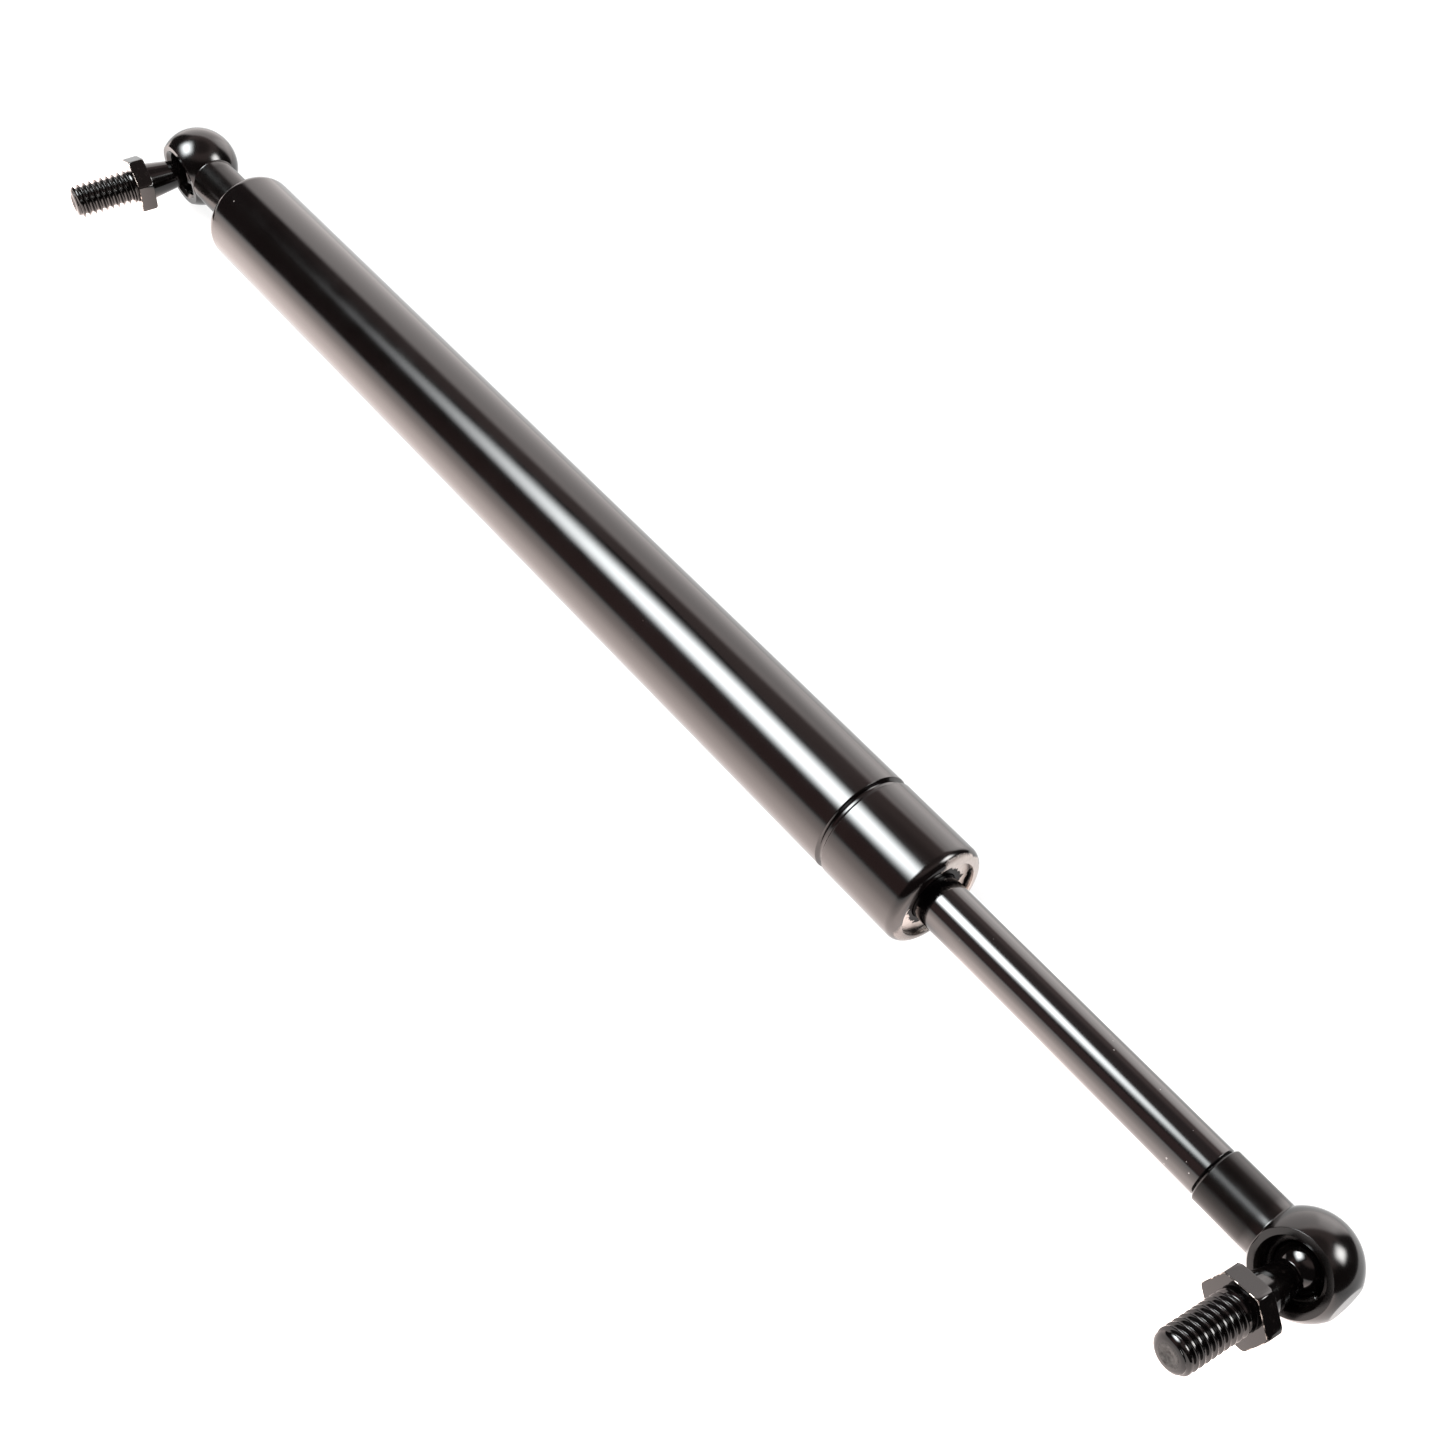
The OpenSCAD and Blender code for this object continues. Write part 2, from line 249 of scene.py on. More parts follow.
class Surface:
    """A Principled material with a few helpers for procedural detail in object space."""

    def __init__(self, name, color, roughness, metallic=0.0, specular=0.5):
        self.material = bpy.data.materials.new(name)
        self.material.use_nodes = True
        self.nodes = self.material.node_tree.nodes
        self.links = self.material.node_tree.links
        self.shader = self.nodes["Principled BSDF"]
        self.shader.inputs["Base Color"].default_value = (*color, 1)
        self.shader.inputs["Roughness"].default_value = roughness
        self.shader.inputs["Metallic"].default_value = metallic
        self.shader.inputs["Specular IOR Level"].default_value = specular
        self.place = self.nodes.new("ShaderNodeTexCoord").outputs["Object"]

    def stretched(self, scale):
        """Object coordinates scaled by a different amount along each axis."""
        node = self.nodes.new("ShaderNodeMapping")
        node.inputs["Scale"].default_value = scale
        self.links.new(self.place, node.inputs["Vector"])
        return node.outputs["Vector"]

    def noise(self, scale, detail=3.0, vector=None, roughness=0.5):
        node = self.nodes.new("ShaderNodeTexNoise")
        node.inputs["Scale"].default_value = scale
        node.inputs["Detail"].default_value = detail
        node.inputs["Roughness"].default_value = roughness
        self.links.new(vector or self.place, node.inputs["Vector"])
        return node.outputs["Fac"]

    def specks(self, scale, size, share=0.25):
        """Small round dots, 1 inside a dot and 0 elsewhere; share of the cells hold one."""
        node = self.nodes.new("ShaderNodeTexVoronoi")
        node.inputs["Scale"].default_value = scale
        self.links.new(self.place, node.inputs["Vector"])
        dots = self.remap(node.outputs["Distance"], size, size * 0.5, 0, 1)
        chosen = self.remap(self.red(node.outputs["Color"]), 0.97 - share, 1.03 - share, 0, 1)
        return self.math("MULTIPLY", dots, chosen)

    def red(self, color):
        node = self.nodes.new("ShaderNodeSeparateColor")
        self.links.new(color, node.inputs["Color"])
        return node.outputs["Red"]

    def remap(self, value, low, high, to_low, to_high):
        node = self.nodes.new("ShaderNodeMapRange")
        for name, number in (
            ("From Min", low),
            ("From Max", high),
            ("To Min", to_low),
            ("To Max", to_high),
        ):
            node.inputs[name].default_value = number
        self.links.new(value, node.inputs["Value"])
        return node.outputs["Result"]

    def math(self, how, a, b):
        node = self.nodes.new("ShaderNodeMath")
        node.operation = how
        for socket, value in zip(node.inputs, (a, b)):
            if isinstance(value, (int, float)):
                socket.default_value = value
            else:
                self.links.new(value, socket)
        return node.outputs["Value"]

    def mix(self, factor, a, b):
        """Colour a where the factor is 0 and b where it is 1."""
        node = self.nodes.new("ShaderNodeMix")
        node.data_type = "RGBA"
        self.links.new(factor, node.inputs["Factor"])
        for name, value in (("A", a), ("B", b)):
            socket = next(s for s in node.inputs if s.name == name and s.type == "RGBA")
            if isinstance(value, tuple):
                socket.default_value = (*value, 1)
            else:
                self.links.new(value, socket)
        return next(s for s in node.outputs if s.type == "RGBA")

    def dot_at(self, along, turn, size):
        """A small round mark on the tube, turned from the top towards the camera's side by degrees."""
        a = math.radians(turn)
        node = self.nodes.new("ShaderNodeVectorMath")
        node.operation = "DISTANCE"
        node.inputs[1].default_value = (along, -TUBE_R * math.sin(a), TUBE_R * math.cos(a))
        self.links.new(self.place, node.inputs[0])
        return self.remap(node.outputs["Value"], size * 0.6, size, 1, 0)

    def ramp(self, value, stops):
        """Colours joined by straight runs between the stops' positions."""
        node = self.nodes.new("ShaderNodeValToRGB")
        elements = node.color_ramp.elements
        elements.remove(elements[1])
        for i, (position, color) in enumerate(stops):
            stop = elements[0] if i == 0 else elements.new(position)
            stop.position = position
            stop.color = (*color, 1)
        self.links.new(value, node.inputs["Fac"])
        return node.outputs["Color"]

    def across(self):
        """Distance from the strut's axis, in metres."""
        split = self.nodes.new("ShaderNodeSeparateXYZ")
        self.links.new(self.place, split.inputs["Vector"])
        y = self.math("MULTIPLY", split.outputs["Y"], split.outputs["Y"])
        z = self.math("MULTIPLY", split.outputs["Z"], split.outputs["Z"])
        return self.math("SQRT", self.math("ADD", y, z), 0)

    def side(self, y_part, z_part):
        """Distance towards one side of the strut, given as shares of Y and Z, in metres."""
        split = self.nodes.new("ShaderNodeSeparateXYZ")
        self.links.new(self.place, split.inputs["Vector"])
        y = self.math("MULTIPLY", split.outputs["Y"], y_part)
        z = self.math("MULTIPLY", split.outputs["Z"], z_part)
        return self.math("ADD", y, z)

    def along(self):
        """Position along the strut, in metres."""
        split = self.nodes.new("ShaderNodeSeparateXYZ")
        self.links.new(self.place, split.inputs["Vector"])
        return split.outputs["X"]

    def set(self, name, output):
        self.links.new(output, self.shader.inputs[name])
        return self

    def bump(self, height, strength, distance):
        node = self.nodes.new("ShaderNodeBump")
        node.inputs["Strength"].default_value = strength
        node.inputs["Distance"].default_value = distance
        self.links.new(height, node.inputs["Height"])
        self.links.new(node.outputs["Normal"], self.shader.inputs["Normal"])
        return self


# Two specks caught in the paint: place along the tube, degrees from the top to the camera's side, and size
NIBS = (
    (TUBE_BACK + 6.0 * MM, 42.7, 0.14 * MM),
    (TUBE_FRONT - 1.3 * MM, 62.0, 0.16 * MM),
)


def tube_paint():
    """Thick gloss black enamel with a faint orange peel and dust; the front lip is partly rubbed bare."""
    s = Surface("tube_paint", (0.002, 0.0013, 0.0013), 0.2)
    tone = s.mix(s.noise(45), (0.0010, 0.0006, 0.0006), (0.0017, 0.0010, 0.0010))
    dust = s.specks(260, 0.045)
    nibs = s.math("MAXIMUM", s.dot_at(*NIBS[0]), s.dot_at(*NIBS[1]))
    tone = s.mix(nibs, tone, (0.7, 0.66, 0.62))
    tone = s.mix(dust, tone, (0.03, 0.024, 0.022))
    ragged = s.math("MULTIPLY", s.math("SUBTRACT", s.noise(420, 5, roughness=0.65), 0.5), 0.0014)
    front = s.math("ADD", s.along(), ragged)
    lip = s.remap(front, TUBE_FRONT - 0.75 * MM, TUBE_FRONT - 0.45 * MM, 0, 1)
    sector = s.math("ADD", s.side(-0.883, 0.469), s.math("MULTIPLY", ragged, 2.0))
    bare = s.math("MULTIPLY", lip, s.remap(sector, 5.6 * MM, 6.4 * MM, 1, 0))
    bare = s.math("MULTIPLY", bare, s.remap(s.side(-0.35, -0.94), 3.0 * MM, 7.0 * MM, 1, 0.25))
    metal_tone = s.mix(s.noise(1500, 4), (0.50, 0.44, 0.41), (0.72, 0.65, 0.61))
    s.set("Base Color", s.mix(bare, tone, metal_tone))
    s.set("Metallic", bare)
    gloss = s.remap(s.noise(120, 4), 0.3, 0.7, 0.10, 0.15)
    s.set("Roughness", s.math("ADD", gloss, s.math("MULTIPLY", bare, 0.24)))
    peel = s.math("ADD", s.noise(620, 2), s.math("MULTIPLY", dust, 0.5))
    return s.bump(peel, 0.10, 0.00002).material


def rod_finish():
    """Black nitrided rod: fine grinding rings, a cold sheen and dust near its outer end."""
    s = Surface("rod_finish", (0.002, 0.0016, 0.0018), 0.18, specular=0.8)
    grinding = s.noise(1.0, 3, s.stretched((5200, 60, 60)))
    near_end = s.remap(s.along(), ROD_HIGH.x - 40 * MM, ROD_HIGH.x - 14 * MM, 0.15, 1)
    dust = s.math("MULTIPLY", s.specks(700, 0.15, 0.12), near_end)
    tone = s.mix(s.noise(200), (0.0010, 0.0008, 0.0010), (0.0018, 0.0015, 0.0018))
    s.set("Base Color", s.mix(dust, tone, (0.30, 0.28, 0.27)))
    s.set("Roughness", s.remap(grinding, 0.3, 0.7, 0.08, 0.13))
    return s.bump(grinding, 0.05, 0.00001).material


def socket_finish():
    """Black plated steel, slightly uneven, with small scuffs."""
    s = Surface("socket_finish", (0.002, 0.0014, 0.0014), 0.2)
    wear = s.remap(s.noise(700, 5, roughness=0.7), 0.60, 0.74, 0, 1)
    tone = s.mix(s.noise(260), (0.0006, 0.0004, 0.0004), (0.0014, 0.0010, 0.0009))
    s.set("Base Color", s.mix(wear, tone, (0.006, 0.0046, 0.004)))
    past_rear = s.remap(s.along(), 8.2 * MM, 9.6 * MM, 0, 1)
    before_front = s.remap(s.along(), FRONT_BALL.x - 9.6 * MM, FRONT_BALL.x - 8.2 * MM, 1, 0)
    shank = s.math("MULTIPLY", past_rear, before_front)
    polish = s.remap(s.noise(330, 4), 0.3, 0.7, 0.13, 0.18)
    s.set("Roughness", s.math("ADD", polish, s.math("MULTIPLY", shank, 0.06)))
    s.set("Specular IOR Level", s.remap(shank, 0, 1, 0.5, 0.24))
    return s.bump(s.noise(900, 3), 0.08, 0.00002).material


def stud_finish():
    """Black zinc on machined steel: glossy, with the tool's fine rings round it."""
    s = Surface("stud_finish", (0.002, 0.0015, 0.0016), 0.2)
    wear = s.remap(s.noise(900, 5, roughness=0.7), 0.58, 0.72, 0, 1)
    tone = s.mix(s.noise(320), (0.0006, 0.0005, 0.0005), (0.0014, 0.0011, 0.0011))
    s.set("Base Color", s.mix(wear, tone, (0.008, 0.0065, 0.006)))
    s.set("Roughness", s.remap(s.noise(420, 4), 0.3, 0.7, 0.06, 0.10))
    return s.bump(s.noise(1200, 3), 0.07, 0.00002).material


def wire_finish():
    """Oil-blackened spring wire with its drawing lines."""
    s = Surface("spring_wire", (0.004, 0.003, 0.003), 0.3, specular=0.4)
    tone = s.mix(s.noise(800, 3), (0.003, 0.0025, 0.0025), (0.008, 0.0065, 0.006))
    s.set("Base Color", tone)
    s.set("Roughness", s.remap(s.noise(1600, 3), 0.3, 0.7, 0.24, 0.36))
    return s.bump(s.noise(2400, 3), 0.12, 0.00001).material


def worn_edge():
    """Hexagon edges rubbed through to bright steel here and there."""
    s = Surface("worn_edge", (0.3, 0.27, 0.25), 0.3, metallic=1.0)
    rubbed = s.remap(s.noise(700, 4, roughness=0.6), 0.46, 0.60, 0, 1)
    s.set("Base Color", s.mix(rubbed, (0.02, 0.017, 0.016), (0.62, 0.55, 0.50)))
    s.set("Roughness", s.remap(s.noise(900, 3), 0.3, 0.7, 0.26, 0.40))
    return s.bump(s.noise(1500, 3), 0.15, 0.00002).material


def tip_finish():
    """Flat end of a stud, dull grey and pitted."""
    s = Surface("stud_tip", (0.05, 0.048, 0.046), 0.5, specular=0.3)
    pits = s.remap(s.noise(1100, 4), 0.35, 0.65, 0, 1)
    tone = s.mix(pits, (0.012, 0.011, 0.010), (0.062, 0.058, 0.055))
    s.set("Base Color", tone)
    s.set("Roughness", s.remap(s.noise(1800, 3), 0.3, 0.7, 0.42, 0.58))
    return s.bump(s.noise(1900, 4), 0.45, 0.00005).material


def washer_finish():
    """Bare steel washer, pale, with black overspray round the rod, and a black crescent at the rim on the far side
    that is painted shade for the gap behind the lip.
    """
    s = Surface("washer_finish", (0.6, 0.5, 0.46), 0.36, metallic=1.0)
    radius = s.across()
    ragged = s.math("MULTIPLY", s.math("SUBTRACT", s.noise(420, 5, roughness=0.65), 0.5), 0.0045)
    near_rod = s.remap(s.math("ADD", radius, ragged), 6.2 * MM, 6.4 * MM, 1, 0)
    wander = s.math("MULTIPLY", s.math("SUBTRACT", s.noise(150, 3), 0.5), 0.006)
    top_side = s.math("ADD", s.side(-0.6, 0.8), s.math("ADD", wander, ragged))
    sprayed = s.remap(top_side, 3.4 * MM, 3.7 * MM, 0, 1)
    # Painted shade: black at the rim on the far side, standing in for the shadow in the gap between the washer and
    # the lip.
    rim = s.remap(s.math("ADD", radius, ragged), 8.0 * MM, 8.2 * MM, 0, 1)
    rim = s.math("MULTIPLY", rim, s.remap(s.side(0.9, -0.4), 5.2 * MM, 6.2 * MM, 0, 1))
    # Black where there is overspray, and where the rim's gap shade is painted.
    overspray_and_gap_shade = s.math("MAXIMUM", s.math("MAXIMUM", near_rod, sprayed), rim)
    bare = s.mix(s.noise(1500, 4), (0.56, 0.49, 0.46), (0.80, 0.73, 0.68))
    s.set("Base Color", s.mix(overspray_and_gap_shade, bare, (0.003, 0.002, 0.002)))
    s.set("Metallic", s.remap(overspray_and_gap_shade, 0, 1, 1, 0))
    s.set("Specular IOR Level", s.remap(overspray_and_gap_shade, 0, 1, 0.5, 0.08))
    s.set("Roughness", s.remap(overspray_and_gap_shade, 0, 1, 0.40, 0.24))
    height = s.math("ADD", s.math("MULTIPLY", overspray_and_gap_shade, 2.0), s.noise(1300, 3))
    return s.bump(height, 0.35, 0.00004).material


def metal(name, color, roughness, ring_scale=2600, bump=0.25):
    """A turned metal: fine rings along the strut's axis and a little colour drift."""
    s = Surface(name, color, roughness, metallic=1.0)
    rings = s.noise(1.0, 3, s.stretched((ring_scale, 30, 30)))
    dark = tuple(c * 0.78 for c in color)
    s.set("Base Color", s.mix(s.noise(300, 4), dark, color))
    s.set("Roughness", s.remap(rings, 0.3, 0.7, roughness * 0.8, roughness * 1.25))
    return s.bump(rings, bump, 0.00002).material


def matte(name, color, roughness, grain):
    """A rubber or plastic with a fine moulded grain."""
    s = Surface(name, color, roughness, specular=0.35)
    pale = tuple(min(1, c * 1.6) for c in color)
    s.set("Base Color", s.mix(s.noise(grain / 6, 3), color, pale))
    s.set("Roughness", s.remap(s.noise(grain, 3), 0.3, 0.7, roughness - 0.08, roughness + 0.08))
    return s.bump(s.noise(grain, 3), 0.3, 0.00003).material


TUBE_PAINT = tube_paint()
ROD_FINISH = rod_finish()
SOCKET_FINISH = socket_finish()
STUD_FINISH = stud_finish()
WASHER_FINISH = washer_finish()
WIRE = wire_finish()
TIP_FINISH = tip_finish()
WORN_EDGE = worn_edge()
STEEL = metal("turned_steel", (0.56, 0.55, 0.53), 0.30)
ALUMINIUM = metal("turned_aluminium", (0.75, 0.75, 0.75), 0.32)
BRONZE = metal("sintered_bronze", (0.55, 0.38, 0.20), 0.42)
RUBBER = matte("seal_rubber", (0.018, 0.018, 0.018), 0.62, 3000)
PLASTIC = matte("ring_plastic", (0.055, 0.048, 0.042), 0.5, 2400)


# ---------------------------------------------------------------- pieces


def build_tube():
    """Drawn tube: rounded closed end, rolled-in groove, and a front edge rolled in over the washer."""
    bore = TUBE_R - TUBE_WALL
    lip_back = TUBE_FRONT - LIP_THICK
    depth = 0.75 * MM
    bead = bore - 0.8 * MM
    rear_roll = 3.0 * MM
    front_roll = 2.2 * MM
    outline = [(TUBE_BACK, REAR_OPENING_R, 0.25 * MM)]
    outline += arc(TUBE_BACK + rear_roll, TUBE_R - rear_roll, rear_roll, 180, 90, 14)
    outline += [
        (GROOVE_X - 0.90 * MM, TUBE_R, 0.15 * MM),
        (GROOVE_X - 0.35 * MM, TUBE_R - depth, 0.32 * MM),
        (GROOVE_X + 0.35 * MM, TUBE_R - depth, 0.32 * MM),
        (GROOVE_X + 0.85 * MM, TUBE_R, 0.15 * MM),
    ]
    outline += arc(TUBE_FRONT - front_roll, TUBE_R - front_roll, front_roll, 90, 0, 14)
    outline += [
        (TUBE_FRONT, FRONT_OPENING_R, 0.25 * MM),
        (lip_back, FRONT_OPENING_R, 0.2 * MM),
        (lip_back, bore, 0.1 * MM),
        (GROOVE_X + 1.5 * MM, bore, 0),
        (GROOVE_X + 0.5 * MM, bead, 0.2 * MM),
        (GROOVE_X - 0.5 * MM, bead, 0.2 * MM),
        (GROOVE_X - 1.5 * MM, bore, 0),
    ]
    inner_roll = rear_roll - TUBE_WALL
    outline += arc(TUBE_BACK + rear_roll, bore - inner_roll, inner_roll, 90, 180, 8)
    outline += [(TUBE_BACK + TUBE_WALL, REAR_OPENING_R, 0.2 * MM)]
    tube = lathe("tube_shell", rounded(outline), 256)
    return place(tube, ALONG_X, "cylinder", ["pressure_tube"], TUBE_PAINT)


def build_rod():
    """Ground rod with its riveted inner end and its screwed outer end."""
    back, front = ROD_LOW.x, ROD_HIGH.x
    tail = 3.5 * MM
    head = 4.6 * MM
    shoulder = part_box("piston_washer")[1].x
    head_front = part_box("orifice_disc")[0].x
    end = FRONT_BALL.x - SHANK_END - 0.25 * MM
    screw = 3.98 * MM
    chamfer = 0.3 * MM
    outline = [
        (back, 0, 0),
        (back, tail + 0.4 * MM, 0.3 * MM),
        (back + 0.6 * MM, head, 0.2 * MM),
        (head_front, head, 0.1 * MM),
        (head_front, tail, 0),
        (shoulder, tail, 0),
        (shoulder, ROD_R, 0.15 * MM),
        (end - chamfer, ROD_R, 0.10 * MM),
        (end, ROD_R - chamfer, 0.08 * MM),
        (end, screw, 0),
        (front - 0.8 * MM, screw, 0.1 * MM),
        (front, screw - 0.8 * MM, 0.1 * MM),
        (front, 0, 0),
    ]
    rod = lathe("rod_bar", rounded(outline), 192)
    return place(rod, ALONG_X, "rod", ["piston_rod"], ROD_FINISH)


def build_washer():
    """Retaining washer behind the rolled lip."""
    low, high = WASHER_LOW.x, WASHER_HIGH.x
    outer = WASHER_HIGH.y
    inner = ROD_R + 0.1 * MM
    outline = [
        (low, inner, 0.1 * MM),
        (low, outer, 0.1 * MM),
        (high, outer, 0.1 * MM),
        (high, inner, 0.15 * MM),
    ]
    washer = lathe("washer_plate", rounded(outline), 160)
    node = ["front_retaining_washer"]
    return place(washer, ALONG_X, "cylinder", node, WASHER_FINISH)


def socket_head():
    """Ball-shaped head turned about the mouth's axis, with its bore and the snap ring's groove."""
    cavity = BALL_R + 0.06 * MM
    ring_half = 0.66 * MM
    groove = 5.8 * MM
    throat = 5.4 * MM
    lead_in = 0.8 * MM
    rim = math.sqrt(HEAD_R**2 - MOUTH_Z**2)
    rim_angle = math.degrees(math.acos(MOUTH_Z / HEAD_R))
    outline = arc(0, 0, HEAD_R, 180, rim_angle + 1.2, 90)
    outline[0] = (-HEAD_R, 0, 0)
    outline += [
        (MOUTH_Z, rim, 0.09 * MM),
        (MOUTH_Z, throat + lead_in, 0.09 * MM),
        (MOUTH_Z - lead_in, throat, 0.15 * MM),
        (RING_Z + ring_half, throat, 0.05 * MM),
        (RING_Z + ring_half, groove, 0.1 * MM),
        (RING_Z - ring_half, groove, 0.1 * MM),
        (RING_Z - ring_half, cavity, 0.05 * MM),
    ]
    outline += arc(0, 0, cavity, 90, 180, 24)
    outline[-1] = (-cavity, 0, 0)
    return lathe("socket", rounded(outline, steps=5, hold=0.02 * MM), 192)


def socket_shank():
    """Screwed shank with a small fillet where it meets the head."""
    fillet = 0.35 * MM
    chamfer = 0.3 * MM
    root = 6.9 * MM
    centre = math.sqrt((HEAD_R + fillet) ** 2 - (SHANK_R + fillet) ** 2)
    touch = math.degrees(math.atan2(SHANK_R + fillet, centre)) - 180
    outline = [
        (SCREW_HOLE_START, 0, 0),
        (SCREW_HOLE_START, SCREW_HOLE_R, 0.05 * MM),
        (SHANK_END, SCREW_HOLE_R, 0.15 * MM),
        (SHANK_END, SHANK_R - chamfer, 0.08 * MM),
        (SHANK_END - chamfer, SHANK_R, 0.10 * MM),
    ]
    outline += arc(centre, SHANK_R + fillet, fillet, -90, touch, 8)
    outline += [(root, 5.0 * MM, 0), (root, 0, 0)]
    return lathe("shank", rounded(outline, steps=5), 160)


def end_cutter():
    """Tool that cuts the flat on a head's outer end and rounds the flat's edge into the ball shape."""
    flat = -math.sqrt(HEAD_R**2 - HEAD_FLAT_R**2)
    edge = 1.5 * MM
    wide = 8 * MM
    far = -12 * MM
    centre = flat + edge
    away = math.sqrt((HEAD_R - edge) ** 2 - centre**2) + 0.02 * MM
    meet = math.degrees(math.atan2(away, centre))
    outline = [(flat, 0, 0)]
    outline += arc(centre, away, edge, 180, meet, 8)
    outline += [(-9.5 * MM, wide, 0), (far, wide, 0), (far, 0, 0)]
    return lathe("end_cutter", rounded(outline), 128)


def screw_drill():
    """Tool that opens the shank's screw hole through the head's wall."""
    far = 12 * MM
    corners = [
        (SCREW_HOLE_START, 0, 0),
        (SCREW_HOLE_START, SCREW_HOLE_R, 0),
        (far, SCREW_HOLE_R, 0),
        (far, 0, 0),
    ]
    return lathe("drill", rounded(corners), 160)


def build_socket(name, ball, shank_way, mouth, body, node):
    """One end fitting: head, flat on its outer end, and shank, with the screw hole through its end."""
    shank_turn = frame_of(Vector((1, 0, 0)), Vector((0, 0, 1)))
    head = socket_head()
    head.name = name
    cut = end_cutter()
    cut.data.transform(shank_turn)
    combine(head, cut, "DIFFERENCE")
    drill = screw_drill()
    drill.data.transform(shank_turn)
    combine(head, drill, "DIFFERENCE")
    shank = socket_shank()
    shank.data.transform(shank_turn)
    combine(head, shank, "UNION")
    turn = Matrix.Translation(ball) @ frame_of(mouth, shank_way)
    return place(head, turn, body, [node], SOCKET_FINISH, sharp=18)


def build_snap_ring(name, ball, mouth, body, node):
    """Round-wire ring with a gap and domed ends, in the socket's groove."""
    centre = 5.14 * MM
    half_gap = 1.2 * MM
    gap = math.asin(half_gap / centre) + RING_WIRE_R / centre
    steps = 96
    around = 24
    rows = []

    def section(angle, shrink, push):
        """One ring of points across the wire, moved along it by push."""
        out = Vector((math.cos(angle), math.sin(angle), 0))
        ahead = Vector((-out.y, out.x, 0))
        middle = out * centre + Vector((0, 0, RING_Z)) + ahead * push
        if shrink < 1e-6:
            return [middle]
        turns = [2 * math.pi * k / around for k in range(around)]
        up = Vector((0, 0, 1))
        reach = RING_WIRE_R * shrink
        return [middle + (out * math.cos(t) + up * math.sin(t)) * reach for t in turns]

    dome = [math.radians(a) for a in (90, 75, 60, 45, 30, 15)]
    for a in dome:
        rows.append(section(gap, math.cos(a), -RING_WIRE_R * math.sin(a)))
    for k in range(steps + 1):
        rows.append(section(gap + (2 * math.pi - 2 * gap) * k / steps, 1, 0))
    for a in reversed(dome):
        rows.append(section(-gap, math.cos(a), RING_WIRE_R * math.sin(a)))
    ring = surface(name, rows, loop=False)
    turn = Matrix.Translation(ball) @ frame_of(mouth, AXIS_X)
    return place(ring, turn, body, [node], WIRE, sharp=60)


def stud_angles():
    """Angles round the stud, with extra ones beside the hexagon's corners."""
    beside = [math.radians(a) for a in (-1.6, -0.75, 0.75, 1.6)]
    between = [math.radians(5 * k) for k in range(1, 12)]
    angles = []
    for corner in range(6):
        start = corner * math.pi / 3
        angles += [start + a for a in beside + between]
    return sorted(angles)


def hex_radius(angle, half, corner):
    """Radius of a hexagon at an angle, with its corners cut at the corner radius."""
    local = angle % (math.pi / 3) - math.pi / 6
    return min(half / math.cos(local), corner)


def thread_radius(angle, along):
    """Radius of the right-hand thread, faded at the hexagon and held inside the domed tip."""
    depth = 0.5413 * THREAD_PITCH
    half_crest = 0.0625
    flank = 0.3125
    rounding = 0.055
    phase = (along / THREAD_PITCH - angle / (2 * math.pi)) % 1
    away = abs(phase - 0.5)
    slope = min(max((away - half_crest) / flank, 0), 1)
    eased = slope - rounding * math.sin(2 * math.pi * (0.5 - slope))
    run_out = min(max((along - SEAT_Z) / (0.9 * THREAD_PITCH), 0), 1)
    cut = depth * eased * (0.35 + 0.65 * run_out)
    dome_length = 1.7 * MM
    dome_drop = 1.75 * MM
    to_tip = TIP_Z - along
    shell = THREAD_R
    if to_tip < dome_length:
        t = 1 - to_tip / dome_length
        shell = THREAD_R - dome_drop * (1 - math.sqrt(max(0, 1 - t * t)))
    return min(THREAD_R - cut, shell)


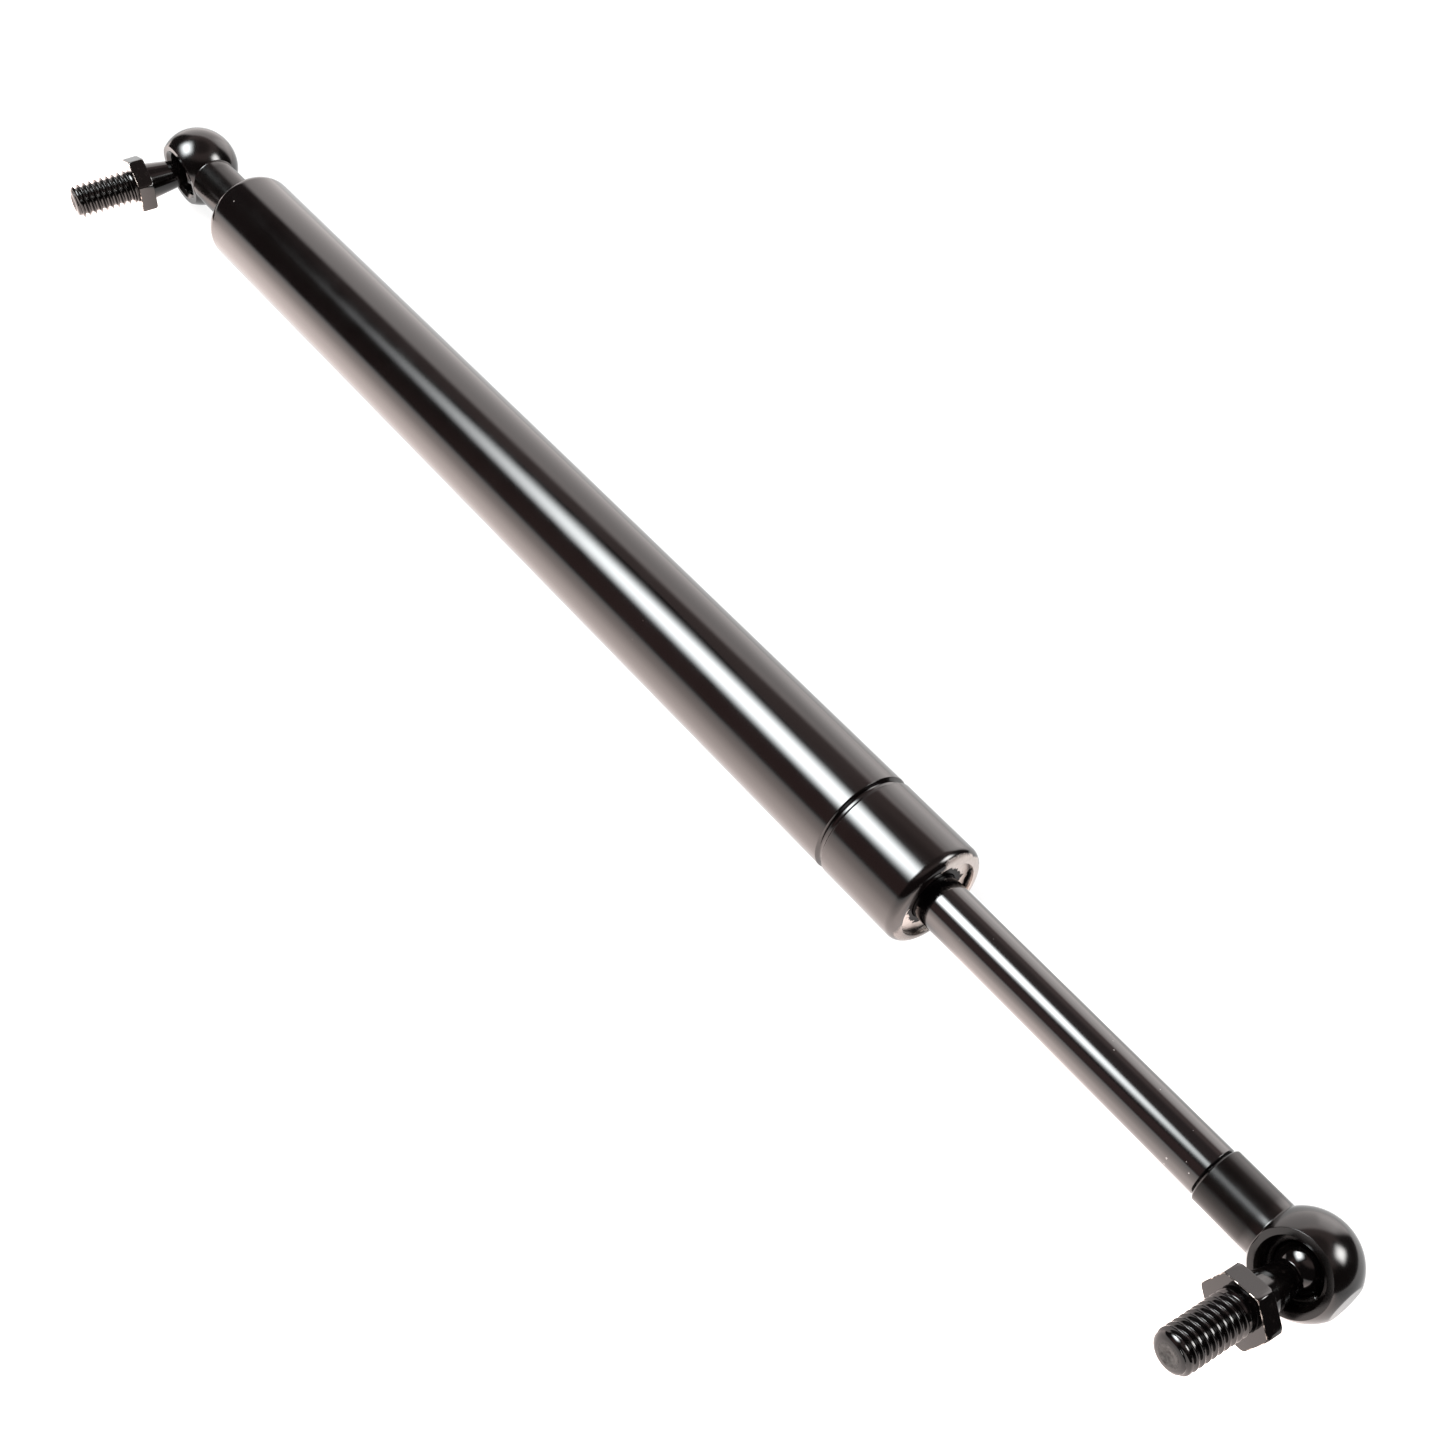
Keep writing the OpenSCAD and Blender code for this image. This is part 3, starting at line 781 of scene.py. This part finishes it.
def build_stud(name, ball, axis, turn, body, node):
    """Ball, tapered neck, hexagon and helical thread in one closed surface, with worn edges and end."""
    angles = stud_angles()
    rows = []

    def round_row(along, radius):
        if radius < 1e-7:
            rows.append([(0, 0, along)])
            return
        rows.append([(radius * math.cos(a), radius * math.sin(a), along) for a in angles])

    def hex_row(along, inset, chamfer):
        corner = HEX_HALF / math.cos(math.pi / 6) - 0.055 * MM - chamfer
        radii = [hex_radius(a, HEX_HALF - inset, corner) for a in angles]
        rows.append([(r * math.cos(a), r * math.sin(a), along) for r, a in zip(radii, angles)])

    neck_r = 2.86 * MM
    neck_z = math.sqrt(BALL_R**2 - neck_r**2)
    hex_z = SEAT_Z - HEX_THICK
    ball_steps = 44
    neck_start = math.degrees(math.atan2(neck_r, neck_z))
    for along, radius, _ in arc(0, 0, BALL_R, 180, neck_start + 1.5, ball_steps):
        round_row(along, radius if along > -BALL_R + 1e-7 else 0)
    flange_r = 4.3 * MM
    fillet = 0.5 * MM
    neck = [
        (neck_z * 0.985, neck_r * 1.06, 0),
        (neck_z + 0.12 * MM, neck_r, 0.3 * MM),
        (hex_z, flange_r, fillet),
        (hex_z, flange_r + 3 * MM, 0),
    ]
    for point in rounded(neck)[1:-1]:
        round_row(point[0], point[1])
    edge = 0.14 * MM
    bevel = [math.radians(a) for a in (0, 30, 60, 90)]
    hex_row(hex_z, edge + 0.06 * MM, 0.42 * MM)
    for a in reversed(bevel):
        inset = edge * (1 - math.cos(a))
        hex_row(hex_z + edge * (1 - math.sin(a)), inset, 0.24 * MM + inset)
    hex_row(hex_z + edge + 0.05 * MM, 0, 0.20 * MM)
    hex_row(hex_z + 0.45 * MM, 0, 0)
    hex_row(SEAT_Z - 0.40 * MM, 0, 0)
    hex_row(SEAT_Z - edge - 0.05 * MM, 0, 0.10 * MM)
    for a in bevel:
        inset = edge * (1 - math.cos(a))
        hex_row(SEAT_Z - edge * (1 - math.sin(a)), inset, 0.13 * MM + inset)
    hex_row(SEAT_Z, edge + 0.06 * MM, 0.32 * MM)
    per_pitch = 30
    step = THREAD_PITCH / per_pitch
    round_row(SEAT_Z, THREAD_R + 0.12 * MM)
    round_row(SEAT_Z, THREAD_R + 0.03 * MM)
    count = int((TIP_Z - 0.02 * MM - SEAT_Z) / step)
    for k in range(1, count + 1):
        along = SEAT_Z + k * step
        radii = [thread_radius(a, along) for a in angles]
        rows.append([(r * math.cos(a), r * math.sin(a), along) for r, a in zip(radii, angles)])
    dished_tip = ((-0.03, 2.12), (0, 2.02), (0, 1.9), (-0.03, 1.6), (-0.23, 1.0), (-0.33, 0.5), (-0.34, 0))
    for along, radius in dished_tip:
        round_row(TIP_Z + along * MM, radius * MM)
    stud = surface(name, rows, loop=False)
    worn = [
        face.index
        for face in stud.data.polygons
        if SEAT_Z - edge < face.center.z < SEAT_Z - 0.005 * MM and face.center.xy.length > 5.2 * MM
    ]
    flat_end = [
        face.index
        for face in stud.data.polygons
        if face.center.z > TIP_Z - 0.4 * MM and face.center.xy.length < 2.08 * MM
    ]
    matrix = Matrix.Translation(ball) @ aim(axis, turn)
    place(stud, matrix, body, [node], STUD_FINISH, sharp=40)
    stud.data.materials.append(TIP_FINISH)
    stud.data.materials.append(WORN_EDGE)
    for index in flat_end:
        stud.data.polygons[index].material_index = 1
    for index in worn:
        stud.data.polygons[index].material_index = 2
    return stud


build_tube()
build_rod()
build_washer()
REAR_MOUTH = joint_axis("rear_swivel")
FRONT_MOUTH = joint_axis("front_swivel")
build_socket("rear_socket", REAR_BALL, AXIS_X, REAR_MOUTH, "cylinder", "rear_ball_socket")
build_socket("front_socket", FRONT_BALL, -AXIS_X, FRONT_MOUTH, "rod", "front_ball_socket")
build_snap_ring("rear_clip", REAR_BALL, REAR_MOUTH, "rear_ring", "rear_snap_ring")
build_snap_ring("front_clip", FRONT_BALL, FRONT_MOUTH, "front_ring", "front_snap_ring")
REAR_STUD_AXIS = mount("rear_stud_thread")[1]
FRONT_STUD_AXIS = mount("front_stud_thread")[1]
build_stud("rear_stud_bar", REAR_BALL, REAR_STUD_AXIS, REAR_STUD_TURN, "rear_stud", "rear_ball_stud")
build_stud(
    "front_stud_bar", FRONT_BALL, FRONT_STUD_AXIS, FRONT_STUD_TURN, "front_stud", "front_ball_stud"
)

# The end plug shows through the tube's rear opening, where it is blackened like the snap rings' wire
INNER_MATERIALS = {
    "rear_end_plug": WIRE,
    "rear_plug_o_ring": RUBBER,
    "piston_washer": STEEL,
    "piston_body": ALUMINIUM,
    "piston_ring": PLASTIC,
    "orifice_disc": BRONZE,
    "seal_support_washer": STEEL,
    "rod_seal": RUBBER,
    "rod_guide": ALUMINIUM,
    "guide_bush": BRONZE,
    "guide_o_ring": RUBBER,
}
for node_name, inner_material in INNER_MATERIALS.items():
    node = frame["nodes"][node_name]
    node.data.materials.clear()
    node.data.materials.append(inner_material)


# ---------------------------------------------------------------- floor, light and camera


def direction(azimuth, elevation):
    """Unit vector from degrees round the vertical and above level."""
    az, el = math.radians(azimuth), math.radians(elevation)
    return Vector((math.cos(el) * math.cos(az), math.cos(el) * math.sin(az), math.sin(el)))


def set_piece(name, bm, material):
    """Makes an object of the set, which isn't part of the strut, from a finished bmesh."""
    mesh = bpy.data.meshes.new(name)
    bm.to_mesh(mesh)
    bm.free()
    mesh.materials.append(material)
    thing = bpy.data.objects.new(name, mesh)
    bpy.context.scene.collection.objects.link(thing)
    return thing


def square(half_size):
    """Level square about the origin."""
    bm = bmesh.new()
    bmesh.ops.create_grid(bm, x_segments=1, y_segments=1, size=half_size)
    return bm


def camera_only(thing):
    """Leaves a set piece visible to the camera and to nothing else."""
    for ray in ("diffuse", "glossy", "transmission", "volume_scatter", "shadow"):
        setattr(thing, "visible_" + ray, False)


def panel_glow(name, radiance, full, gone, tint):
    """Glowing material that fades along X and Y, from all of radiance at full to none at gone."""
    s = Surface(name, (0, 0, 0), 0.5, specular=0.0)
    s.shader.inputs["Emission Color"].default_value = (*tint, 1)
    split = s.nodes.new("ShaderNodeSeparateXYZ")
    s.links.new(s.place, split.inputs["Vector"])
    light = radiance
    for axis, near, far in (("X", full[0], gone[0]), ("Y", full[1], gone[1])):
        fade = s.nodes.new("ShaderNodeMapRange")
        fade.interpolation_type = "SMOOTHSTEP"
        fade.inputs["From Min"].default_value = near
        fade.inputs["From Max"].default_value = far
        fade.inputs["To Min"].default_value = 1.0
        fade.inputs["To Max"].default_value = 0.0
        s.links.new(s.math("ABSOLUTE", split.outputs[axis], 0), fade.inputs["Value"])
        light = s.math("MULTIPLY", fade.outputs["Result"], light)
    return s.set("Emission Strength", light).material


def soft_panel(name, place_at, radiance, full, gone, roll=0.0, tint=(1, 0.985, 0.965)):
    """Diffused studio light facing the strut, seen in reflections but not by the camera."""
    panel = set_piece(name, square(1), panel_glow(name, radiance, full, gone, tint))
    panel.data.transform(Matrix.Diagonal((gone[0], gone[1], 1, 1)))
    here = Vector(place_at)
    way = (here - (REAR_BALL + FRONT_BALL) / 2).normalized()
    sideways = Vector((0, 0, 1)).cross(way)
    turn = Matrix.Rotation(math.radians(roll), 4, "Z")
    panel.matrix_world = Matrix.Translation(here) @ frame_of(way, sideways) @ turn
    panel.visible_camera = False
    panel.visible_shadow = False
    return panel


# The floor's glow is set between these two places across the strut, in millimetres
GLOW_FROM = -300
GLOW_TO = 250
PLAIN_GLOW = 0.176


def glow_stops(levels):
    """Ramp stops from (millimetres across, level) pairs; the glow is warmer where it is brighter."""
    stops = []
    for across, level in levels:
        warmth = min(max((level - 0.18) / 0.35, 0), 1)
        color = (level, level * (1 - 0.15 * warmth), level * (1 - 0.20 * warmth))
        stops.append(((across - GLOW_FROM) / (GLOW_TO - GLOW_FROM), color))
    return stops


def build_floor(level):
    """Table top that gives off light, most of all in a warm strip on the camera's side of the strut.

    It looks plain to the camera, and the strut's lower side reflects the strip. The levels started from
    reflections measured on the photograph and traced back to the table by a scratch script, and were
    then changed by hand. They fit the strut where it lies at rest and don't follow its moving parts.
    """
    s = Surface("floor", (0.08, 0.08, 0.08), 0.6)
    split = s.nodes.new("ShaderNodeSeparateXYZ")
    s.links.new(s.place, split.inputs["Vector"])
    across = s.remap(split.outputs["Y"], GLOW_FROM * MM, GLOW_TO * MM, 0, 1)
    # Painted light and shade on the table: the bright warm strip is a painted pool of light, the dip from -15 mm
    # to 0 beside the tube is a painted contact shadow where the tube lies, and the dim far end is painted shade
    # for the strut's reflections.
    beside_tube = s.ramp(across, glow_stops((
        (-300, 0.04),
        (-200, 0.18),
        (-178, 0.25),
        (-102, 0.38),
        (-56, 0.52),
        (-39, 0.58),
        (-30, 0.72),
        (-20, 0.84),
        (-15, 0.72),
        (-10, 0.50),
        (-7, 0.26),
        (0, PLAIN_GLOW),
        (45, 0.172),
        (70, 0.21),
        (130, 0.27),
    )))
    beside_rod = s.ramp(across, glow_stops((
        (-300, 0.04),
        (-200, 0.18),
        (-178, 0.25),
        (-102, 0.34),
        (-48, 0.46),
        (-23, 0.70),
        (-15, 0.94),
        (-10, 0.82),
        (-6, 0.68),
        (0, 0.40),
        (10, 0.24),
        (30, 0.18),
        (45, 0.174),
        (70, 0.21),
        (130, 0.27),
    )))
    to_rod = s.remap(split.outputs["X"], TUBE_FRONT - 2 * MM, TUBE_FRONT + 8 * MM, 0, 1)
    to_end = s.remap(split.outputs["X"], ROD_HIGH.x - 50 * MM, ROD_HIGH.x - 25 * MM, 0, 0.3)
    glow = s.mix(to_rod, beside_tube, beside_rod)
    s.set("Emission Color", s.mix(to_end, glow, (PLAIN_GLOW, PLAIN_GLOW, PLAIN_GLOW)))
    s.shader.inputs["Emission Strength"].default_value = 5.0
    s.shader.inputs["Specular IOR Level"].default_value = 0.0
    floor = set_piece("floor", square(4.0), s.material)
    floor.location.z = level
    return floor


def build_far_table(level):
    """White table top over the floor's far part on the camera's side, seen by the camera only.

    It hides the floor's darker far part in views from behind; reflections still see the floor.
    """
    s = Surface("far_table", (0.9, 0.9, 0.9), 0.6)
    s.set("Emission Color", s.mix(s.noise(0.8, 2), (0.97, 0.965, 0.96), (1.0, 0.995, 0.99)))
    s.shader.inputs["Emission Strength"].default_value = 1.1
    half_depth = 2.0
    near_edge = -0.185
    table = set_piece("far_table", square(half_depth), s.material)
    table.scale = (2.0, 1.0, 1.0)
    table.location = (0, near_edge - half_depth, level + 0.1 * MM)
    camera_only(table)
    return table


def build_surround():
    """Pale paper all round, seen by the camera only, so that every view has a plain background."""
    s = Surface("surround", (0, 0, 0), 0.5)
    s.shader.inputs["Emission Color"].default_value = (1, 0.985, 0.97, 1)
    s.shader.inputs["Emission Strength"].default_value = 0.9
    bm = bmesh.new()
    bmesh.ops.create_uvsphere(bm, u_segments=48, v_segments=24, radius=3.9)
    dome = set_piece("surround", bm, s.material)
    camera_only(dome)
    return dome


class Room:
    """World shader: a dim room with soft-edged patches of light in it."""

    def __init__(self):
        world = bpy.data.worlds.new("room")
        bpy.context.scene.world = world
        world.use_nodes = True
        self.nodes = world.node_tree.nodes
        self.links = world.node_tree.links
        self.way = self.nodes.new("ShaderNodeTexCoord").outputs["Generated"]
        self.total = None

    def math(self, how, a, b=0.0):
        node = self.nodes.new("ShaderNodeMath")
        node.operation = how
        for socket, value in zip(node.inputs, (a, b)):
            if isinstance(value, (int, float)):
                socket.default_value = value
            else:
                self.links.new(value, socket)
        return node.outputs["Value"]

    def dot(self, axis):
        node = self.nodes.new("ShaderNodeVectorMath")
        node.operation = "DOT_PRODUCT"
        node.inputs[1].default_value = axis
        self.links.new(self.way, node.inputs[0])
        return node.outputs["Value"]

    def fade(self, value, low, high):
        node = self.nodes.new("ShaderNodeMapRange")
        node.interpolation_type = "SMOOTHSTEP"
        node.inputs["From Min"].default_value = low
        node.inputs["From Max"].default_value = high
        self.links.new(value, node.inputs["Value"])
        return node.outputs["Result"]

    def add(self, amount, tint):
        """Adds amount, a number or an output, of a colour to the room's light."""
        node = self.nodes.new("ShaderNodeVectorMath")
        node.operation = "SCALE"
        node.inputs[0].default_value = tint
        if isinstance(amount, float):
            node.inputs["Scale"].default_value = amount
        else:
            self.links.new(amount, node.inputs["Scale"])
        if self.total is None:
            self.total = node.outputs["Vector"]
            return
        both = self.nodes.new("ShaderNodeVectorMath")
        both.operation = "ADD"
        self.links.new(self.total, both.inputs[0])
        self.links.new(node.outputs["Vector"], both.inputs[1])
        self.total = both.outputs["Vector"]

    def patch(self, azimuth, elevation, half_width, half_height, edge, radiance, tint):
        """A soft-edged rectangle of light with round corners, its half sizes in degrees."""
        power = 6
        horizon = 0.001
        centre = direction(azimuth, elevation)
        sideways = Vector((0, 0, 1)).cross(centre).normalized()
        up = centre.cross(sideways)
        facing = self.dot(centre)
        ahead = self.math("MAXIMUM", facing, horizon)
        total = 0.0
        for axis, half in ((sideways, half_width), (up, half_height)):
            across = self.math("DIVIDE", self.dot(axis), ahead)
            scaled = self.math("DIVIDE", across, math.tan(math.radians(half)))
            total = self.math("ADD", self.math("POWER", self.math("ABSOLUTE", scaled), power), total)
        size = self.math("POWER", total, 1 / power)
        inside = self.math("SUBTRACT", 1.0, self.fade(size, 1 - edge, 1 + edge))
        inside = self.math("MULTIPLY", inside, self.math("GREATER_THAN", facing, horizon))
        self.add(self.math("MULTIPLY", inside, radiance), tint)

    def finish(self):
        """Sends the summed light to the world's background."""
        self.links.new(self.total, self.nodes["Background"].inputs["Color"])


def build_room():
    """Dark room towards the camera, dim ceiling, and a broad pale wall behind the strut."""
    room = Room()
    height = room.dot((0, 0, 1))
    ceiling = room.math("MULTIPLY", room.fade(height, 0.60, 0.80), 0.55)
    overhead = room.math("MULTIPLY", room.fade(height, 0.88, 0.96), 0.35)
    room.add(room.math("SUBTRACT", ceiling, overhead), (1.0, 0.76, 0.72))
    room.add(0.05, (1.0, 0.85, 0.85))
    room.patch(132, 0, 44, 51, 0.15, 2.25, (1.0, 0.93, 0.91))
    room.patch(108, 25, 12, 16, 0.35, 1.0, (1.0, 0.95, 0.93))
    room.patch(-115, 12, 17, 22, 0.5, 0.32, (1.0, 0.58, 0.54))
    room.finish()


def build_camera():
    """A viewpoint above and in front of the rod's end, looking back along the strut.

    The place and the two directions of the view were solved from points seen in the photograph.
    """
    data = bpy.data.cameras.new("camera")
    viewpoint = Vector((0.407097, -0.231912, 0.255025))
    data.sensor_width = 36
    data.lens = 50.83
    data.clip_start = 0.01
    camera = bpy.data.objects.new("camera", data)
    bpy.context.scene.collection.objects.link(camera)
    right = Vector((0.614752, 0.759787, 0.211668))
    down = Vector((0.619239, -0.298734, -0.726155))
    matrix = Matrix((right, -down, right.cross(-down))).transposed().to_4x4()
    camera.matrix_world = Matrix.Translation(viewpoint) @ matrix
    bpy.context.scene.camera = camera
    return camera


build_floor(cad_box[0][2])
build_far_table(cad_box[0][2])
build_surround()
build_room()
soft_panel(
    "key_panel",
    (-0.270, -0.560, 0.842),
    radiance=34,
    full=(0.08, 0.0),
    gone=(0.54, 0.43),
    roll=4.8,
    tint=(0.95, 0.99, 1.0),
)
soft_panel("side_panel", (1.21, 0.945, 1.32), radiance=22, full=(0.08, 0.08), gone=(0.58, 0.54))
build_camera()
bpy.context.scene.view_settings.view_transform = "Standard"
